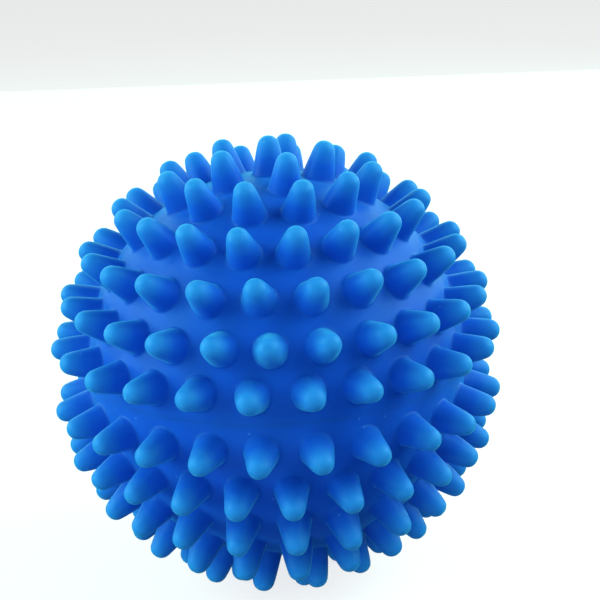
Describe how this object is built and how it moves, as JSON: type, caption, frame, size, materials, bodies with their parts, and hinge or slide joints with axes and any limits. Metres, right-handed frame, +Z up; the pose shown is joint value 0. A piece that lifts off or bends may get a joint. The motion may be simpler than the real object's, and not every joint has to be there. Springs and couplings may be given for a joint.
{
  "type": "dryer ball",
  "caption": "Hollow soft vinyl ball covered in rows of round-tipped nubs, tumbled with laundry in a dryer; two welded half-shells and a vent plug.",
  "frame": {"origin": "on the surface that the ball stands on, below the ball's centre", "axes": "+Z up through the two poles, at right angles to the weld plane; -Y is the front, which faces the viewer"},
  "size_m": [0.0644, 0.0644, 0.0651],
  "materials": {
    "soft_vinyl": "satin",
    "plug_vinyl": "satin"
  },
  "bodies": {
    "root": {"upper_shell": "soft_vinyl", "lower_shell": "soft_vinyl", "vent_plug": "plug_vinyl"}
  },
  "joints": []
}
